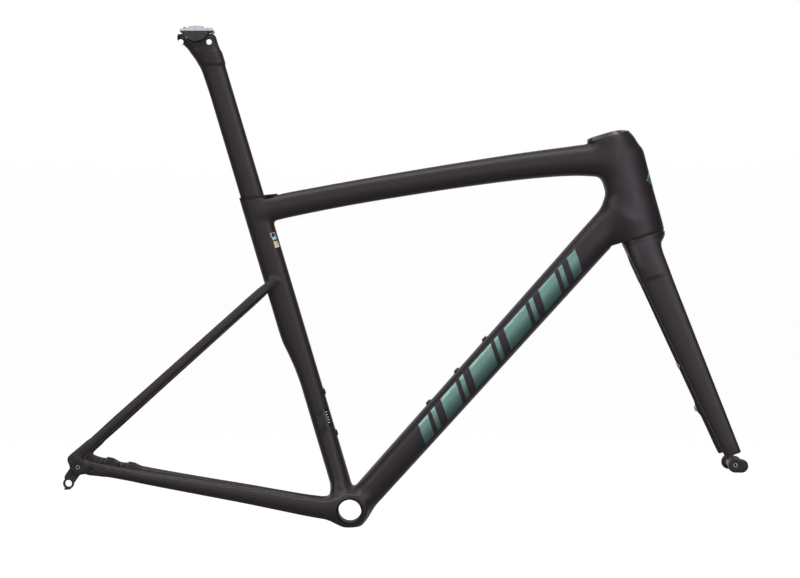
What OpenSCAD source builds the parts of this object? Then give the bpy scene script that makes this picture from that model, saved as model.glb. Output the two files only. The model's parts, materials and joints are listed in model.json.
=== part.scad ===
// Road bicycle frameset: hollow carbon frame and fork, headset, seatpost and saddle clamp.
// The origin is the bottom bracket centre, +X is forward, +Y is the rider's left, +Z is up.

/* [Layout] */
// Rear axle behind the bottom bracket
rear_axle_back = 403.5; // [402:0.5:405]
// Rear axle above the bottom bracket
rear_axle_up = 68.3; // [67:0.1:70]
// Front axle ahead of the bottom bracket
front_axle_ahead = 576.1; // [574:0.1:578]
// Front axle above the bottom bracket
front_axle_up = 70.7; // [69:0.1:72]
// Head tube angle from level
head_angle = 73.5; // [73.3:0.1:73.7]
// Seat tube angle from level
seat_angle = 73.37; // [73.2:0.01:73.5]
// Down tube angle from level
down_angle = 48.05; // [47.9:0.05:48.2]

/* [Carbon tubes] */
// Wall of the carbon tubes
wall = 2; // [1.6:0.1:2.4]
// Width of the seat tube above its narrow part
seat_tube_w = 29; // [28.5:0.5:31]
// Width of the top tube at the seat
top_tube_w = 30; // [29:0.5:32]
// Width of the down tube
down_tube_w = 55; // [52:0.5:58]
// Width of the head tube at its base
head_tube_w = 55; // [54:0.5:58]
// Radius of the bottom bracket barrel
barrel_r = 23.4; // [23:0.1:24.5]

/* [Bottom bracket and wheels] */
// Radius of the bottom bracket thread
bracket_thread_r = 17.4; // [17.3:0.05:17.5]
// Width of the bottom bracket shell
bracket_w = 68; // [68:1:70]
// Distance between the rear dropouts
rear_hub_w = 142; // [140:1:144]
// Distance between the front dropouts
front_hub_w = 100; // [99:1:101]
// Radius of both through-axles
axle_r = 5.95; // [5.9:0.01:5.95]

/* [Headset] */
// Outer radius of the lower bearing
lower_bearing_r = 23.4; // [23:0.1:23.5]
// Outer radius of the upper bearing
upper_bearing_r = 20.9; // [20.5:0.1:21]
// Outer radius of the steerer
steerer_r = 14.3; // [14.2:0.05:14.3]
// Inner radius of the steerer
steerer_bore_r = 11.2; // [10.8:0.1:11.5]

/* [Seatpost] */
// Length of the seatpost's front-to-back section
post_chord = 33.9; // [33.5:0.1:34.2]
// Width of the seatpost
post_w = 22; // [21.5:0.1:22.4]
// Gap around the seatpost
post_gap = 0.35; // [0.3:0.01:0.4]
// Radius of the saddle clamp's round seat
cradle_r = 20; // [19.8:0.1:20]
// Distance between the saddle rails
rail_spacing = 44; // [43:1:45]
// Radius of a saddle rail
rail_r = 3.5; // [3.5:0.05:3.5]

/* [Hidden] */
$fn = 64;

right = -1;
left = 1;
rear_axle_at = [-rear_axle_back, rear_axle_up];
front_axle_at = [front_axle_ahead, front_axle_up];
seat_line = 180 - seat_angle;
head_line = 180 - head_angle;
seat_base = [-5.7, 0];
down_base = [3.9, 0];
// Where the steering axis crosses the fork crown's seam
crown_at = [435.2, 410.4];
tilt_at = [-231.5, 725.8];
rear_half = rear_hub_w / 2;
front_half = front_hub_w / 2;
dropout_t = 9;
// Clearance of a through-axle in its bore, and of a small part in its carbon seat
axle_gap = 0.05;
seat_gap = 0.12;
sleeve_r = 20;
fork_tip_drop = 341;
crown_drop = 45;
tunnel_half = 20.2;
wheel_clear_r = 350;
// How far cutting tools run past the face they cut
past = 20;
boss_r = 4.5;
flange_r = 6.4;
flange_seat_r = 6.6;
bolt_r = 2.45;
thread_r = 2.5;
carbon = [0.17, 0.15, 0.17];
black = [0.06, 0.06, 0.07];
alloy = [0.75, 0.76, 0.78];
steel = [0.62, 0.62, 0.64];
rubber = [0.08, 0.08, 0.09];

// A section is a ring: [x, y, z, direction, reach to its left, reach to its right, width, roundness].
section_sides = 24;
slice_t = 0.02;
oval = [2.3, 2.3];
// How far a cavity runs past the ends of its tube
cavity_over = 1;

// Point at distance s along a line through p, moved off to the line's left
function along(p, angle, s, off = 0) =
    [p[0] + s * cos(angle) - off * sin(angle), p[1] + s * sin(angle) + off * cos(angle)];

// Outline of a section, with its own roundness on either side of the axis
function rounded(hi, lo, w, n) = [for (i = [0:section_sides - 1])
    let (t = i * 360 / section_sides, c = cos(t), s = sin(t), m = s > 0 ? n[0] : n[1])
    [w / 2 * sign(c) * pow(abs(c), 2 / m), (s > 0 ? hi : lo) * sign(s) * pow(abs(s), 2 / m)]];

// Rings on a straight axis from rows of [distance, left reach, right reach, width]
function rings_on(p, angle, rows, n = oval) =
    [for (r = rows) let (q = along(p, angle, r[0])) [q[0], 0, q[1], angle, r[1], r[2], r[3], n]];

// The same rings with t taken off all round
function thinner(rings, t) =
    [for (r = rings) [r[0], r[1], r[2], r[3], r[4] - t, r[5] - t, r[6] - 2 * t, r[7]]];

// Thin slab of a section's shape
module slice(r)
    translate([r[0], r[1], r[2]]) rotate([0, -r[3], 0]) rotate([90, 0, 90])
        linear_extrude(slice_t, center = true) polygon(rounded(r[4], r[5], r[6], r[7]));

// A ring moved on by t along its own direction
function shifted(r, t) = [r[0] + t * cos(r[3]), r[1], r[2] + t * sin(r[3]), r[3], r[4], r[5], r[6], r[7]];

// Corners of a ring in space
function corners(r) = [for (p = rounded(r[4], r[5], r[6], r[7]))
    [r[0] - p[1] * sin(r[3]), r[1] + p[0], r[2] + p[1] * cos(r[3])]];

// Solid through a list of rings, flat at both ends
module loft(rings) {
    n = section_sides;
    last = len(rings) - 1;
    sides = [for (i = [0:last - 1]) for (k = [0:n - 1]) let (j = (k + 1) % n)
        each [[i * n + k, i * n + n + j, i * n + j], [i * n + k, i * n + n + k, i * n + n + j]]];
    ends = [[for (k = [0:n - 1]) k], [for (k = [n - 1:-1:0]) last * n + k]];
    polyhedron([for (r = rings) each corners(r)], concat(ends, sides));
}

// Room inside a tube with walls t thick, carried on past both end rings
module cavity(rings, t = wall) {
    inner = thinner(rings, t);
    last = len(inner) - 1;
    loft([shifted(inner[0], -cavity_over), shifted(inner[0], 3 * cavity_over),
        each [for (i = [1:1:last - 1]) inner[i]],
        shifted(inner[last], -3 * cavity_over), shifted(inner[last], cavity_over)]);
}

// Side outline in X and Z, extruded evenly to both sides of the middle
module side_plate(points, w) rotate([90, 0, 0]) linear_extrude(w, center = true) polygon(points);

// Cylinder across the bicycle from y0 to y1
module cross_pin(at, r, y0, y1) translate([at[0], y0, at[1]]) rotate([-90, 0, 0]) cylinder(r = r, h = y1 - y0);

// Children stand on the steering axis, s above the crown seam, with X forward
module on_steering(s = 0) {
    q = along(crown_at, head_line, s);
    translate([q[0], 0, q[1]]) rotate([0, 90 - head_line, 0]) children();
}

// Children stand on the seat tube's axis, s above its foot, with X forward
module on_seat(s = 0) {
    q = along(seat_base, seat_line, s);
    translate([q[0], 0, q[1]]) rotate([0, 90 - seat_line, 0]) children();
}

// ---- Outer shapes of the frame tubes ----

head_rows = [[0.8, 26.5, 39.4, head_tube_w], [20, 26.6, 41, head_tube_w - 1],
    [60, 27, 41.8, head_tube_w - 5], [100, 28, 43.2, head_tube_w - 7.5],
    [124.6, 29.5, 43.8, head_tube_w - 8], [135, 30.3, 40.5, head_tube_w - 8],
    [157, 32, 33, head_tube_w - 8]];
head_rings = rings_on(crown_at, head_line, head_rows, [2.6, 1.75]);

// Top tube, as rows of [x, top, bottom, width]
top_rows = [[-134, 470.9, 436, top_tube_w - 3], [-118, 473.6, 430, top_tube_w - 1],
    [-107, 475.8, 438.6, top_tube_w],
    [-90, 479.2, 443.4, top_tube_w], [0, 495.7, 460, top_tube_w + 1], [91, 511.4, 475.2, top_tube_w + 3],
    [182, 526.3, 488.9, top_tube_w + 6], [272, 540, 500, top_tube_w + 10], [340, 548.9, 504.3, top_tube_w + 13],
    [366, 552, 502.4, top_tube_w + 15], [378, 553, 495.5, top_tube_w + 15], [398, 555, 470, top_tube_w + 12]];
top_rings = [for (r = top_rows)
    [r[0], 0, (r[1] + r[2]) / 2, 0, (r[1] - r[2]) / 2, (r[1] - r[2]) / 2, r[3], oval]];

down_rows = [[0, 20.5, 20.5, down_tube_w + 7], [60, 21.2, 21.2, down_tube_w + 5],
    [200, 22.3, 22.3, down_tube_w + 2],
    [340, 23.4, 23.2, down_tube_w], [480, 24.5, 24.2, down_tube_w], [535, 26, 24.8, down_tube_w - 1],
    [600, 26, 30, down_tube_w - 4]];
down_rings = rings_on(down_base, down_angle, down_rows, [2.6, 2.4]);

seat_rows = [[14, 11, 19.1, 60], [45, 10.9, 19.1, 48], [95, 10.9, 19.1, 36], [150, 10.9, 19.1, seat_tube_w + 1],
    [203, 10.9, 19.1, seat_tube_w], [230, 13, 19.1, seat_tube_w], [258, 16.9, 19.1, seat_tube_w],
    [274, 19.1, 19.1, seat_tube_w], [288, 19.5, 19.1, seat_tube_w], [450, 19.5, 19.1, seat_tube_w],
    [458, 19.5, 36, seat_tube_w - 1], [505, 19.5, 37.5, seat_tube_w - 1]];
seat_rings = rings_on(seat_base, seat_line, seat_rows, [2.4, 2.4]);
// Rows below this index are hollowed by a thinner copy, and above it by the seatpost's socket
socket_row = 8;
socket_foot = 286;

// Chainstay from the dropout forward, and seatstay from the dropout up, for one side
stay_angle = -11.5;
function chainstay_rings(side) = [for (r = [[-362, 74.7, 62.3, 8, 10], [-331, 70.5, 56.8, 8.2, 12.5],
    [-307.8, 66, 52.3, 8.5, 15], [-222.6, 54, 36.6, 10, 16], [-150, 45, 23.6, 11.5, 17],
    [-101.5, 39.5, 14.5, 13, 18], [-60, 35, 7.5, 14.5, 19], [-20, 31, 2, 16, 20]])
    [r[0], side * r[1], r[2], stay_angle, r[3], r[3], r[4], oval]];
function seatstay_rings(side) = [for (r = [[-385.8, 74.6, 101.2, 42, 7.6, 10.4],
    [-363, 72, 121.3, 42, 7.5, 11.5],
    [-300, 60, 178, 42, 7.4, 12], [-230, 42, 241, 42, 7.4, 12.5], [-175, 27, 290.5, 42, 7.4, 13],
    [-148, 20, 315.5, 40, 7.6, 13], [-132, 16.2, 327, 34, 6.8, 10.5], [-118, 14.6, 334.5, 27, 4.6, 7],
    [-106, 14, 340, 24, 2.4, 3.6]]) [r[0], side * r[1], r[2], r[3], r[4], r[4], r[5], oval]];

module bottom_bracket_outer() {
    cross_pin([0, 0], barrel_r, -bracket_w / 2 + 0.5, bracket_w / 2 - 0.5);
    for (side = [right, left]) {
        rings = chainstay_rings(side);
        hull() {
            slice(rings[6]);
            slice(rings[7]);
        }
        hull() {
            slice(rings[7]);
            cross_pin([0, 0], barrel_r, side * 26 - 7, side * 26 + 7);
        }
    }
    // Webs that round the corners beside the seat tube
    hull() {
        cross_pin([-26, 8], 8, -27, 27);
        cross_pin([-12, 34], 5, -22, 22);
        cross_pin([0, 0], barrel_r - 1, -26, 26);
    }
    hull() {
        cross_pin([7, 37], 5, -22, 22);
        cross_pin([0, 0], barrel_r - 1, -26, 26);
    }
}

// Straight bar with the seatpost's section, from s0 to s1 on the seat tube's axis
module post_bar(s0, s1, grow) on_seat(s0) rotate([0, 0, -90])
    linear_extrude(s1 - s0)
        polygon(rounded(post_chord / 2 + grow, post_chord / 2 + grow, post_w + 2 * grow, [2.2, 2.2]));

// Wedge pocket in front of the post, wider at its foot. Its points are [forward, up] from the seat axis.
pocket_foot = 462;
wedge_w = 16;
wedge_front = function(z) 33.4 - 0.06 * z;
module wedge_outline(gap, w, z0, z1) on_seat(pocket_foot)
    side_plate([[12, z0], [wedge_front(z0) - gap, z0], [wedge_front(z1) - gap, z1], [12, z1]], w);

// Everything above the seat cluster's top face, which carries on the top tube's slope
collar_slope = 10.3;
collar_at = [-148.8, 468.1];
module above_collar(up = 0)
    translate([collar_at[0], 0, collar_at[1] + up]) rotate([0, -collar_slope, 0])
        translate([-40, -40, 0]) cube([84, 80, 60]);

// Bottle bosses: distances along the tubes, from their feet
down_boss_s = [197.8, 261.5, 325];
seat_boss_s = [116.6, 181];
down_boss_top = function(s) 21.2 + (s - 60) * 0.0085;
module on_down_bosses() for (s = down_boss_s) {
    q = along(down_base, down_angle, s, down_boss_top(s));
    translate([q[0], 0, q[1]]) rotate([0, -down_angle, 0]) children();
}
module on_seat_bosses() for (s = seat_boss_s) on_seat(s) translate([19.1, 0, 0]) rotate([0, 90, 0]) children();

// Front derailleur plate on the right flank of the seat tube
plate_s = 141;
plate_forward = 3.2;
plate_y = -16.4;
plate_bolt_spacing = 25;
module on_plate() on_seat(plate_s) translate([plate_forward, plate_y, 0]) children();
module on_plate_bolts() on_plate() for (up = [-1, 1]) translate([0, 0, up * plate_bolt_spacing / 2])
    rotate([90, 0, 0]) children();

// Rear brake holes stand square to the left chainstay
brake_hole_at = [[-367.7, 66.5], [-334.9, 59.4]];
brake_y = 69.5;
brake_lean = 12;
rear_insert_r = 6;
rear_insert_bore_r = 2.75;
rear_insert_up = 9.6;
rear_insert_down = 9.5;
module on_rear_brake() for (q = brake_hole_at) translate([q[0], brake_y, q[1]]) rotate([0, brake_lean, 0])
    children();

// ---- Frame: carbon ----

module head_tube() color(carbon) difference() {
    loft(head_rings);
    on_steering(0) translate([0, 0, -1]) cylinder(r = lower_bearing_r + seat_gap, h = 10.4);
    on_steering(9) cylinder(r1 = 21.8, r2 = 18.8, h = 139);
    on_steering(146.6) cylinder(r = upper_bearing_r + seat_gap, h = 14);
}

module top_tube() color(carbon) difference() {
    loft(top_rings);
    cavity(top_rings);
    loft(head_rings);
    loft(seat_rings);
    above_collar();
}

module down_tube() color(carbon) difference() {
    loft(down_rings);
    cavity(down_rings);
    loft(head_rings);
    loft(seat_rings);
    loft(top_rings);
    bottom_bracket_outer();
    on_down_bosses() translate([0, 0, -20]) cylinder(r = boss_r + seat_gap, h = 30);
    on_down_bosses() translate([0, 0, -0.3]) cylinder(r = flange_seat_r, h = 10);
    on_steering(-80) cylinder(r = 60, h = 80.8);
}

module seat_tube() color(carbon) difference() {
    loft(seat_rings);
    cavity([for (i = [0:socket_row]) seat_rings[i]]);
    post_bar(socket_foot, 520, post_gap);
    wedge_outline(-0.3, wedge_w + 0.6, 0, 50);
    above_collar();
    bottom_bracket_outer();
    on_seat_bosses() translate([0, 0, -14]) cylinder(r = boss_r + seat_gap, h = 20);
    on_seat_bosses() translate([0, 0, -0.3]) cylinder(r = flange_seat_r, h = 10);
    on_plate() cube([13.4, 3.4, 37.4], center = true);
    on_plate_bolts() translate([0, 0, -9]) cylinder(r = thread_r + seat_gap, h = 12);
}

module bottom_bracket_lug() color(carbon) difference() {
    bottom_bracket_outer();
    cross_pin([0, 0], sleeve_r + seat_gap, -50, 50);
    // Tyre and chainring room behind the barrel
    hull() {
        cross_pin([-60, 14], 22, -21, 21);
        cross_pin([-92, 14], 22, -24, 24);
    }
    for (side = [right, left]) cavity([for (i = [5:7]) chainstay_rings(side)[i]], 4);
}

module chainstay(side) difference() {
    rings = chainstay_rings(side);
    loft(rings);
    cavity(rings);
    hull() {
        slice(rings[6]);
        slice(rings[7]);
        slice([20, side * 20, 0, 0, 30, 30, 60, oval]);
    }
    if (side == left) on_rear_brake() translate([0, 0, -past])
        cylinder(r = rear_insert_r + seat_gap, h = 2 * past);
}
module chainstay_right() color(carbon) chainstay(right);
module chainstay_left() color(carbon) chainstay(left);

module seatstay(side) difference() {
    rings = seatstay_rings(side);
    loft(rings);
    cavity([for (i = [0:5]) rings[i]]);
    loft(seat_rings);
}
module seatstay_right() color(carbon) seatstay(right);
module seatstay_left() color(carbon) seatstay(left);

// ---- Frame: rear end ----

// Side outline of a dropout, clear of both stays
module dropout_outline() {
    a = rear_axle_at;
    hull() {
        translate(a) circle(r = 13);
        translate([-413.6, 82.2]) circle(r = 5.5);
        translate([-395, 84]) circle(r = 8);
    }
    polygon([[-418, 85.5], [-413.4, 89], [-391.6, 107], [-381.4, 95.7], [-391, 86], [-393, 78]]);
    polygon([[-396, 55.4], [-363.7, 54.3], [-360.6, 70.1], [-380, 73.5], [-389, 82.5], [-400, 80]]);
}
module dropout_plate(y0, y1) translate([0, y1, 0]) rotate([90, 0, 0]) linear_extrude(y1 - y0) dropout_outline();

port_at = [-384.8, 65.4];
port_r = 4.3;
hanger_screw_at = [-398, 83];

module dropout_right() color(carbon) difference() {
    union() {
        dropout_plate(-rear_half - dropout_t + 1, -rear_half);
        cross_pin(rear_axle_at, 11.7, -rear_half - dropout_t, -rear_half);
    }
    // Seat of the hanger on the inner face
    cross_pin(rear_axle_at, 12.2, -rear_half - 4, -rear_half + 1);
    translate([-425, -rear_half - 4, 40]) cube([34, 5, 28.3]);
    hull() {
        cross_pin(rear_axle_at, 10, -rear_half - 4, -rear_half + 1);
        cross_pin(hanger_screw_at, 5.4, -rear_half - 4, -rear_half + 1);
    }
    cross_pin(rear_axle_at, axle_r + axle_gap, -rear_half - past, -rear_half + 1);
    cross_pin(port_at, port_r + 0.1, -rear_half - past, -rear_half + 1);
    cross_pin(hanger_screw_at, 1.6, -rear_half - 6.5, -rear_half + 1);
}

module dropout_left() color(carbon) difference() {
    union() {
        dropout_plate(rear_half, rear_half + dropout_t - 1);
        cross_pin(rear_axle_at, 12.4, rear_half, rear_half + dropout_t);
    }
    cross_pin(rear_axle_at, axle_r + axle_gap, rear_half - 1, rear_half + past);
    on_rear_brake() translate([0, 0, -past]) cylinder(r = rear_insert_r + seat_gap, h = 2 * past);
}

hanger_hole_at = [-417.2, 44.4];
hanger_thread_r = 5;
hanger_t = 3.9;
hanger_arm_t = 7.5;
module derailleur_hanger() color(black) difference() {
    union() {
        cross_pin(rear_axle_at, 12, -rear_half - hanger_t, -rear_half);
        hull() {
            cross_pin(rear_axle_at, 9.8, -rear_half - hanger_t, -rear_half);
            cross_pin(hanger_screw_at, 5.2, -rear_half - hanger_t, -rear_half);
        }
        hull() {
            cross_pin(rear_axle_at, 9, -rear_half - hanger_t, -rear_half);
            cross_pin([-414.5, 52.5], 9, -rear_half - hanger_t, -rear_half);
        }
        // The lower arm is thicker, with its stop tab at the bottom
        hull() {
            cross_pin([-413.8, 50.5], 6, -rear_half - hanger_arm_t, -rear_half);
            cross_pin(hanger_hole_at, 8.2, -rear_half - hanger_arm_t, -rear_half);
        }
        side_tab();
    }
    cross_pin(rear_axle_at, axle_r + axle_gap, -rear_half - past, -rear_half + 1);
    cross_pin(hanger_hole_at, hanger_thread_r, -rear_half - past, -rear_half + 1);
    cross_pin(hanger_screw_at, 1.75, -rear_half - past, -rear_half + 1);
    cross_pin(hanger_screw_at, 3.3, -rear_half - 2, -rear_half + 1);
    // Room for the dropout above the arm
    difference() {
        cross_pin(rear_axle_at, 14.2, -rear_half - 12, -rear_half - hanger_t);
        translate([-440, -100, 20]) cube([80, 30, 24]);
    }
}
module side_tab() translate([0, -rear_half, 0]) rotate([90, 0, 0]) linear_extrude(5)
    polygon([[-422.8, 38.5], [-424, 34.6], [-415, 35.2], [-412.8, 38]]);

module hanger_screw() color(steel) {
    cross_pin(hanger_screw_at, 3.2, -rear_half - 1.95, -rear_half - 0.2);
    cross_pin(hanger_screw_at, 1.5, -rear_half - 6.3, -rear_half - 1);
}

module wire_grommet() color(rubber) difference() {
    cross_pin(port_at, port_r, -rear_half - dropout_t + 0.6, -rear_half - 0.5);
    cross_pin(port_at, 1.3, -rear_half - past, -rear_half + 1);
}

module rear_brake_inserts() color(alloy) on_rear_brake() difference() {
    translate([0, 0, -rear_insert_down]) cylinder(r = rear_insert_r, h = rear_insert_down + rear_insert_up);
    translate([0, 0, -past]) cylinder(r = rear_insert_bore_r, h = 2 * past);
}

module bottom_bracket_sleeve() color(alloy) difference() {
    cross_pin([0, 0], sleeve_r, -bracket_w / 2, bracket_w / 2);
    cross_pin([0, 0], bracket_thread_r, -bracket_w, bracket_w);
}

// ---- Frame: fasteners and small parts ----

module rivet_insert(depth) difference() {
    union() {
        translate([0, 0, -depth]) cylinder(r = boss_r, h = depth);
        translate([0, 0, -0.2]) cylinder(r = flange_r, h = 1);
    }
    translate([0, 0, -depth - 1]) cylinder(r = thread_r, h = depth + 3);
}
module button_bolt(head_r, head_h, shank) difference() {
    union() {
        translate([0, 0, 0.85]) rotate_extrude() polygon(concat([[0, 0], [head_r, 0]],
            [for (a = [0:15:75]) [head_r * cos(a) * 0.4 + head_r * 0.6, head_h * 0.35 + head_h * 0.65 * sin(a)]],
            [[0, head_h]]));
        translate([0, 0, -shank]) cylinder(r = bolt_r, h = shank + 1);
    }
    translate([0, 0, head_h - 0.8]) cylinder(r = 1.73, h = 4, $fn = 6);
}

module down_tube_inserts() color(alloy) on_down_bosses() rivet_insert(13);
module down_tube_bolts() color(black) on_down_bosses() button_bolt(4.7, 2.6, 11);
module seat_tube_inserts() color(alloy) on_seat_bosses() rivet_insert(11);
module seat_tube_bolts() color(black) on_seat_bosses() button_bolt(4.4, 1.7, 9);

module front_derailleur_plate() color(black) on_plate() difference() {
    hull() for (up = [-1, 1]) translate([0, 0, up * 12]) rotate([90, 0, 0])
        cylinder(r = 6, h = 3, center = true);
    for (up = [-1, 1]) translate([0, 0, up * plate_bolt_spacing / 2]) rotate([90, 0, 0])
        cylinder(r = thread_r, h = 10, center = true);
}
module front_derailleur_bolts() color(black) on_plate_bolts() difference() {
    union() {
        translate([0, 0, 1.55]) cylinder(r1 = 4.2, r2 = 3.6, h = 2);
        translate([0, 0, -8]) cylinder(r = bolt_r, h = 10);
    }
    translate([0, 0, 2.6]) cylinder(r = 1.5, h = 3, $fn = 6);
}

wedge_bolt_forward = 24.6;
wedge_bolt_head_r = 4.2;
module wedge_bolt() color(black) on_seat(pocket_foot) translate([wedge_bolt_forward, 0, 0]) difference() {
    union() {
        translate([0, 0, 4]) cylinder(r = bolt_r, h = 17.5);
        translate([0, 0, 21]) cylinder(r = wedge_bolt_head_r, h = 3);
    }
    translate([0, 0, 22]) cylinder(r = 2, h = 5, $fn = 6);
}

// ---- Headset: a bearing is [foot, height, outer radius, bore, ball pitch] ----

lower_bearing = [2, 7, lower_bearing_r, 17.05, 20.2];
upper_bearing = [147, 6.5, upper_bearing_r, 15.35, 18.15];
ball_r = 1.59;
groove_gap = 0.06;
race_gap = 0.85;

module race(b, r0, r1) on_steering(b[0]) difference() {
    cylinder(r = r1, h = b[1]);
    translate([0, 0, -1]) cylinder(r = r0, h = b[1] + 2);
    translate([0, 0, b[1] / 2]) rotate_extrude() translate([b[4], 0]) circle(r = ball_r + groove_gap);
}
module ball_cage(b, balls) on_steering(b[0] + b[1] / 2) {
    difference() {
        cylinder(r = b[4] + 0.5, h = 2, center = true);
        cylinder(r = b[4] - 0.5, h = 4, center = true);
    }
    for (i = [0:balls - 1]) rotate([0, 0, i * 360 / balls]) translate([b[4], 0, 0]) sphere(r = ball_r);
}
module lower_bearing_outer() color(steel) race(lower_bearing, lower_bearing[4] + race_gap, lower_bearing[2]);
module lower_bearing_inner() color(steel) race(lower_bearing, lower_bearing[3], lower_bearing[4] - race_gap);
module upper_bearing_outer() color(steel) race(upper_bearing, upper_bearing[4] + race_gap, upper_bearing[2]);
module upper_bearing_inner() color(steel) race(upper_bearing, upper_bearing[3], upper_bearing[4] - race_gap);
module lower_ball_cage() color(alloy) ball_cage(lower_bearing, 24);
module upper_ball_cage() color(alloy) ball_cage(upper_bearing, 22);

module compression_ring() color(black) on_steering(149) difference() {
    union() {
        cylinder(r1 = 14.9, r2 = 15.3, h = 5);
        translate([0, 0, 4.6]) cylinder(r = 17, h = 1.6);
    }
    translate([0, 0, -1]) cylinder(r = steerer_r + 0.03, h = 9);
}

cover_rings = rings_on(crown_at, head_line,
    [[157.3, 32, 32.6, 47], [159.4, 33.4, 32.4, 47.4], [163.9, 32.6, 21, 44], [165.3, 27, 10, 37]], [2.6, 1.9]);
module headset_cover() color(black) difference() {
    loft(cover_rings);
    on_steering(150) cylinder(r = steerer_r + 0.3, h = 20);
}

// ---- Fork: rows are [drop below the seam, rear, front] from the steering axis ----

fork_line = head_line - 180;
crown_rings = rings_on(crown_at, fork_line, [[0.7, 40.2, 26.5, 53.6], [6, 39.4, 25.8, 55],
    [14, 34, 24.6, 60], [22.5, 30.4, 23, 65], [32, 28.6, 21.4, 70], [crown_drop, 28.6, 19.2, 74]], [2, 2.5]);
// Blade rows: drop, front reach, rear reach, distance from the middle, width
blade_rows = [[crown_drop, 28.6, 19.2, 28.6, 16.8], [80, 30.9, 13.9, 31.5, 16.4], [120, 34.1, 7.8, 35, 15.8],
    [160, 37.3, 1.8, 38.5, 15.2], [200, 40.5, -4.3, 42, 14.6], [240, 43.7, -10.4, 45.7, 14],
    [280, 46.9, -16.5, 49.5, 13.2], [315, 49.7, -21.8, 53, 12.4], [fork_tip_drop, 51.8, -25.8, 55.7, 11.6]];
function blade_rings(side) = [for (r = blade_rows)
    let (mid = (r[1] - r[2]) / 2, q = along(crown_at, fork_line, r[0], mid), half = (r[1] + r[2]) / 2)
    [q[0], side * r[3], q[1], fork_line, half, half, r[4], oval]];

module steerer() color(carbon) on_steering(0) difference() {
    union() {
        translate([0, 0, -14]) cylinder(r = 17, h = 23.5);
        translate([0, 0, 9.5]) cylinder(r1 = 17, r2 = steerer_r, h = 7);
        cylinder(r = steerer_r, h = 164.6);
    }
    translate([0, 0, -15]) cylinder(r = steerer_bore_r, h = 190);
}

// Room for the tyre: a disc about the front axle with a round rim
tunnel_inner_r = 200;
module wheel_tunnel() translate([front_axle_ahead, 0, front_axle_up]) rotate([90, 0, 0])
    rotate_extrude($fn = 120) {
    translate([tunnel_inner_r, -tunnel_half])
        square([wheel_clear_r - tunnel_half - tunnel_inner_r, 2 * tunnel_half]);
    translate([wheel_clear_r - tunnel_half, 0]) circle(r = tunnel_half, $fn = 32);
}
module fork_crown() color(carbon) difference() {
    union() {
        loft(crown_rings);
        for (side = [right, left])
            loft([[crown_rings[3][0], side * 20, crown_rings[3][2], fork_line, 24, 20, 16, oval],
                blade_rings(side)[0]]);
    }
    wheel_tunnel();
    on_steering(-30) cylinder(r = 17 + seat_gap, h = 40);
    hull() {
        on_steering(-30) cylinder(r = 12, h = 5);
        on_steering(-60) cylinder(r = 12, h = 5);
    }
}

// Front brake threads, 70 mm apart on the left blade and square to its rear edge
front_brake_drop = [204, 274];
rear_edge_slope = 0.1518;
rear_edge_lean = 25.1;
blade_splay = 0.094;
// The upper insert ends flush with the blade, the lower one on a raised foot
front_brake_sink = [3.4, 0];
module on_front_brake() for (i = [0, 1]) {
    further = front_brake_drop[i] - front_brake_drop[0];
    q = along(crown_at, fork_line, front_brake_drop[i], 3.1 + further * rear_edge_slope);
    translate([q[0], 42.4 + further * blade_splay, q[1]]) rotate([0, 270 - rear_edge_lean, 0])
        translate([0, 0, -front_brake_sink[i]]) children();
}
brake_insert_r = 4.5;
module fork_blade(side) difference() {
    rings = blade_rings(side);
    loft(rings);
    cavity([for (i = [0:7]) rings[i]]);
    if (side == left) on_front_brake() translate([0, 0, -16]) cylinder(r = brake_insert_r + seat_gap, h = 30);
}
module fork_blade_right() color(carbon) fork_blade(right);
module fork_blade_left() color(carbon) fork_blade(left);

module fork_dropout(y0, y1) difference() {
    translate([0, y1, 0]) rotate([90, 0, 0]) linear_extrude(y1 - y0) {
        foot = along(crown_at, fork_line, fork_tip_drop + 0.3, 25.8);
        toe = along(crown_at, fork_line, fork_tip_drop + 0.3, 51.8);
        hull() {
            polygon([foot, toe, along(crown_at, fork_line, fork_tip_drop + 10, 52.5)]);
            translate(front_axle_at + [0.3, -0.3]) circle(r = 11.2);
            translate(front_axle_at + [9.2, -1.5]) circle(r = 10);
        }
    }
    cross_pin(front_axle_at, axle_r + axle_gap, y0 - 1, y1 + 1);
}
module fork_dropout_right() color(carbon) fork_dropout(-front_half - 11.4, -front_half);
module fork_dropout_left() color(carbon) fork_dropout(front_half, front_half + 11.4);

module front_brake_inserts() color(alloy) on_front_brake() difference() {
    translate([0, 0, -13]) cylinder(r = brake_insert_r, h = 15.5);
    translate([0, 0, -11]) cylinder(r = thread_r, h = 20);
}

// ---- Through-axles, from the left ----

module through_axle(at, tip_y, end_y, head_r) difference() {
    union() {
        cross_pin(at, axle_r, tip_y, end_y);
        cross_pin(at, head_r, end_y, end_y + 4);
    }
    cross_pin(at, 3.2, tip_y - 1, tip_y + 14);
    translate([at[0], end_y + 4.5, at[1]]) rotate([90, 0, 0]) cylinder(r = 3.4, h = 8, $fn = 6);
}
module rear_axle() color(alloy) through_axle(rear_axle_at, -rear_half - 7.6, rear_half + dropout_t + 0.3, 8);
module front_axle() color(alloy) through_axle(front_axle_at, -front_half - 10.6, front_half + 11.7, 8);

// ---- Seatpost, seal and wedge ----

post_foot = 366;
post_rows = [[post_foot, 16.95, 16.95, post_w], [656, 16.95, 16.95, post_w], [675, 17.6, 16.9, post_w],
    [694, 18.5, 16.9, post_w + 0.3]];
post_rings = rings_on(seat_base, seat_line, post_rows, [2.2, 2.2]);
// Level slices of the head: [z, rear x, front x, width]
head_slices = [[678, -230.6, -190.4, 23.5], [686, -235.6, -192.8, 24.5], [694, -243.2, -195.3, 26],
    [703.5, -252.6, -198.5, 27],
    [709, -259.6, -200.4, 27.5], [714, -260.2, -202.6, 27.5], [717.4, -258.5, -206.4, 26.5]];
head_slice_rings = [for (r = head_slices)
    let (mid = (r[1] + r[2]) / 2, half = (r[2] - r[1]) / 2) [mid, 0, r[0], 90, half, half, r[3], [3, 3]]];

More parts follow.
